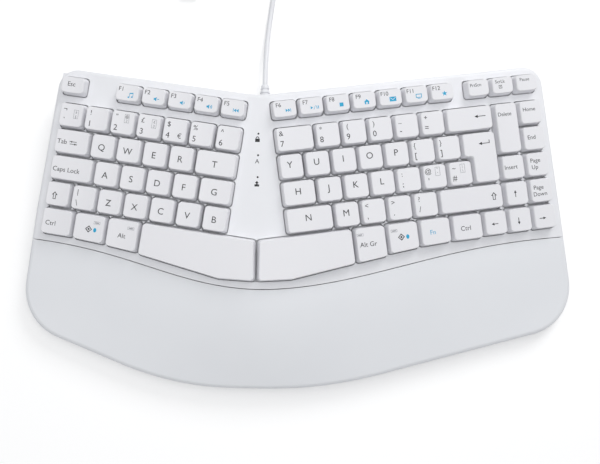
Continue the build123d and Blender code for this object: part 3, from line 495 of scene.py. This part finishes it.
for count, symbol in enumerate(("next", "play", "stop", "home", "letter", "display", "star")):
    u = 18.6 + 19.05 * (count + 0.5)
    legends.append(("keys_f6_to_f12", right, u - 4.2, 75.4, 3.0, "F%d" % (6 + count), dark))
    legends.append(("keys_f6_to_f12", right, u + (2.4 if count < 3 else 1.6), 71.1, 1.2, symbol, blue))
for node, side, u, v, height, what, ink in (
    ("key_escape", left, -145.8, 73.3, 3.3, "Esc", dark),
    ("key_tab", left, -145.6, 31.8, 3.4, "Tab", dark), ("key_tab", left, -137.4, 31.4, 0.9, "tab", dark),
    ("key_caps_lock", left, -139.3, 12.0, 3.4, "Caps Lock", dark),
    ("key_left_shift", left, -144.6, -7.2, 1.0, "shift", dark),
    ("key_left_control", left, -144.2, -26.8, 3.4, "Ctrl", dark),
    ("key_left_system", left, -116.0, -27.0, 1.0, "system", dark),
    ("key_left_system", left, -111.4, -27.2, 1.0, "menu", blue),
    ("key_left_system", left, -110.6, -22.0, 1.0, "tag", grey),
    ("key_left_alt", left, -91.7, -27.8, 3.4, "Alt", dark),
    ("key_left_alt", left, -85.8, -22.0, 1.0, "tag", grey),
    ("keys_grave_to_6", left, -138.8, 52.0, 1.0, "frame", grey),
    ("keys_grave_to_6", left, -138.8, 53.6, 1.9, "±", grey),
    ("keys_grave_to_6", left, -138.8, 50.4, 1.9, "§", grey),
    ("keys_grave_to_6", left, -101.6, 54.2, 1.0, "frame", grey),
    ("keys_grave_to_6", left, -101.6, 55.7, 2.0, "@", dark),
    ("keys_grave_to_6", left, -101.6, 52.6, 2.0, "2", grey),
    ("keys_grave_to_6", left, -81.6, 53.3, 1.0, "frame", grey),
    ("keys_grave_to_6", left, -81.6, 54.8, 2.0, "£", dark),
    ("keys_grave_to_6", left, -81.6, 51.7, 2.0, "3", grey),
    ("keys_grave_to_6", left, -62.4, 47.5, 3.6, "€", dark),
    ("keys_print_to_pause", right, 167.6, 74.7, 2.4, "PrtScn", dark),
    ("keys_print_to_pause", right, 186.0, 75.4, 2.4, "ScrLk", dark),
    ("keys_print_to_pause", right, 186.0, 71.5, 1.1, "scroll", dark),
    ("keys_print_to_pause", right, 204.6, 75.2, 2.4, "Pause", dark),
    ("key_backspace", right, 167.8, 52.1, 1.0, "back", dark),
    ("key_enter", right, 168.1, 32.4, 1.0, "enter", dark),
    ("key_delete", right, 186.2, 51.7, 2.8, "Delete", dark),
    ("key_home", right, 204.9, 53.3, 2.8, "Home", dark),
    ("key_end", right, 204.1, 32.9, 3.1, "End", dark),
    ("key_insert", right, 185.7, 13.2, 3.1, "Insert", dark),
    ("key_page_up", right, 204.4, 16.0, 3.1, "Page", dark),
    ("key_page_up", right, 203.6, 11.2, 3.1, "Up", dark),
    ("key_page_down", right, 204.2, -3.6, 3.1, "Page", dark),
    ("key_page_down", right, 204.9, -8.4, 3.1, "Down", dark),
    ("keys_j_to_hash", right, 131.3, 16.4, 1.0, "frame", grey),
    ("keys_j_to_hash", right, 131.3, 18.0, 2.0, '"', dark),
    ("keys_j_to_hash", right, 131.3, 14.9, 2.0, "'", dark),
    ("keys_j_to_hash", right, 149.8, 16.4, 1.0, "frame", grey),
    ("keys_j_to_hash", right, 149.8, 18.0, 2.0, "|", grey),
    ("keys_j_to_hash", right, 149.8, 14.9, 2.0, "\\", grey),
    ("key_right_shift", right, 170.2, -6.0, 1.0, "shift", dark),
    ("key_alt_gr", right, 74.9, -28.5, 3.4, "Alt Gr", dark),
    ("key_alt_gr", right, 69.7, -21.6, 1.0, "tag", grey),
    ("key_right_system", right, 99.0, -26.6, 1.0, "system", dark),
    ("key_right_system", right, 103.6, -26.8, 1.0, "menu", blue),
    ("key_right_system", right, 94.2, -21.7, 1.0, "tag", grey),
    ("key_fn", right, 122.2, -25.9, 3.4, "Fn", blue),
    ("key_right_control", right, 146.5, -26.1, 3.4, "Ctrl", dark),
    ("key_left", right, 168.2, -25.9, 1.0, "go_left", dark),
    ("key_down", right, 186.3, -26.0, 1.0, "go_down", dark),
    ("key_right", right, 204.4, -26.1, 1.0, "go_right", dark),
    ("key_up", right, 186.4, -6.1, 1.0, "go_up", dark),
):
    legends.append((node, side, u, v, height, what, ink))


def surface_tree(name):
    """Search tree of a solid's surface, in the scene's own place."""
    solid = nodes[name]
    return BVHTree.FromPolygons([solid.matrix_world @ v.co for v in solid.data.vertices],
                                [tuple(p.vertices) for p in solid.data.polygons])


def print_onto(name, carrier, prints):
    """One layer of ink on a solid: each shape is laid on the surface below it, a hair proud of it."""
    tree = surface_tree(carrier)
    points, faces, face_inks = [], [], []
    for origin, along, across, outward, u, v, height, what, ink in prints:
        if what in symbols:
            shape, low = flat_shape("symbol", symbols[what]), 0.0
        else:
            shape, low = lettering(what), 0.5
        local, local_faces = mesh_points(shape)
        first = len(points)
        for spot in local:
            reach_u, reach_v = u + spot.x * height, v + (spot.y - low) * height
            above = origin + along * reach_u / 1000 + across * reach_v / 1000
            hit = tree.ray_cast(above + outward * 0.012, -outward)[0]
            if hit is None:
                raise ValueError("no surface under " + what + " on " + carrier)
            points.append(hit + outward * (0.00003 if spot.z > 0 else -0.00002))
        faces += [tuple(first + i for i in face) for face in local_faces]
        face_inks += [ink] * len(local_faces)
    mesh = bpy.data.meshes.new(name)
    mesh.from_pydata(points, [], faces)
    for ink in inks:
        mesh.materials.append(ink)
    mesh.polygons.foreach_set("material_index", face_inks)
    printed = bpy.data.objects.new(name, mesh)
    bpy.context.collection.objects.link(printed)
    return printed


for node in sorted({legend[0] for legend in legends}):
    printed = print_onto("print_on_" + node, node, [(*bank_frames[legend[1]], *legend[2:])
                                                    for legend in legends if legend[0] == node])
    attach(printed, node)


# Indicators: three smoky lenses in a row on the ridge between the banks, each with a
# small printed sign in front of it: a padlock, a capital and an arrow on a bar.
smoke, link, surface, node = shader("smoky_lens")
surface.inputs["Base Color"].default_value = colour(40, 41, 45)
surface.inputs["Coat Weight"].default_value = 0.5
lens_noise = node("ShaderNodeTexNoise")
lens_noise.inputs["Scale"].default_value = 1500.0
lens_shine = node("ShaderNodeMapRange")
lens_shine.inputs["To Min"].default_value = 0.12
lens_shine.inputs["To Max"].default_value = 0.26
link(lens_noise.outputs["Fac"], lens_shine.inputs["Value"])
link(lens_shine.outputs["Result"], surface.inputs["Roughness"])
dress(smoke, "indicator_lenses")
across_ridge = (split + Vector((0, 0, 0.045)), Vector((1, 0, 0)), Vector((0, 1, 0)), Vector((0, 0, 1)))
ridge_print = print_onto("print_on_ridge", "top_case", [
    (*across_ridge, -0.6, 54.8, 1.3, "padlock", dark),
    (*across_ridge, -0.6, 39.4, 3.2, "A", dark),
    (*across_ridge, -0.5, 23.4, 1.25, "scroll_lock", dark),
])
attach(ridge_print, "case")


# Floor and light: a plain white desk that keeps the soft shadow, a wide soft lamp
# overhead, a smaller one from the right rear, and an even pale room.
desk_mesh = bpy.data.meshes.new("desk")
desk_mesh.from_pydata([(-4, -4, 0), (4, -4, 0), (4, 4, 0), (-4, 4, 0)], [], [(0, 1, 2, 3)])
desk = bpy.data.objects.new("desk", desk_mesh)
bpy.context.collection.objects.link(desk)
white_desk, link, surface, node = shader("white_desk")
surface.inputs["Base Color"].default_value = (0.88, 0.88, 0.88, 1)
surface.inputs["Roughness"].default_value = 0.6
rays = node("ShaderNodeLightPath")
seen = node("ShaderNodeMath", operation="MAXIMUM")
seen_all = node("ShaderNodeMath", operation="MAXIMUM")
lift = node("ShaderNodeMath", operation="MULTIPLY")
lift.inputs[1].default_value = 0.22
surface.inputs["Emission Color"].default_value = (1, 1, 1, 1)
link(rays.outputs["Is Camera Ray"], seen.inputs[0])
link(rays.outputs["Is Glossy Ray"], seen.inputs[1])
link(seen.outputs["Value"], seen_all.inputs[0])
link(rays.outputs["Is Transmission Ray"], seen_all.inputs[1])
link(seen_all.outputs["Value"], lift.inputs[0])
link(lift.outputs["Value"], surface.inputs["Emission Strength"])
desk_mesh.materials.append(white_desk)

world = bpy.data.worlds.new("pale_room")
bpy.context.scene.world = world
world.use_nodes = True
world.node_tree.nodes["Background"].inputs["Color"].default_value = (0.97, 0.98, 1.0, 1)
world.node_tree.nodes["Background"].inputs["Strength"].default_value = 0.39
for name, place, width, power in (
    ("overhead", (-0.1, 0.1, 1.3), 1.4, 8.3),
    ("rear_right", (0.5, 1.0, 0.85), 0.6, 7.0),
):
    lamp = bpy.data.lights.new(name, "AREA")
    lamp.shape = "SQUARE"
    lamp.size = width
    lamp.energy = power
    lamp_object = bpy.data.objects.new(name, lamp)
    bpy.context.collection.objects.link(lamp_object)
    lamp_object.location = place
    lamp_object.rotation_euler = (split - Vector(place)).to_track_quat("-Z", "Y").to_euler()
bpy.context.scene.view_settings.view_transform = "Standard"
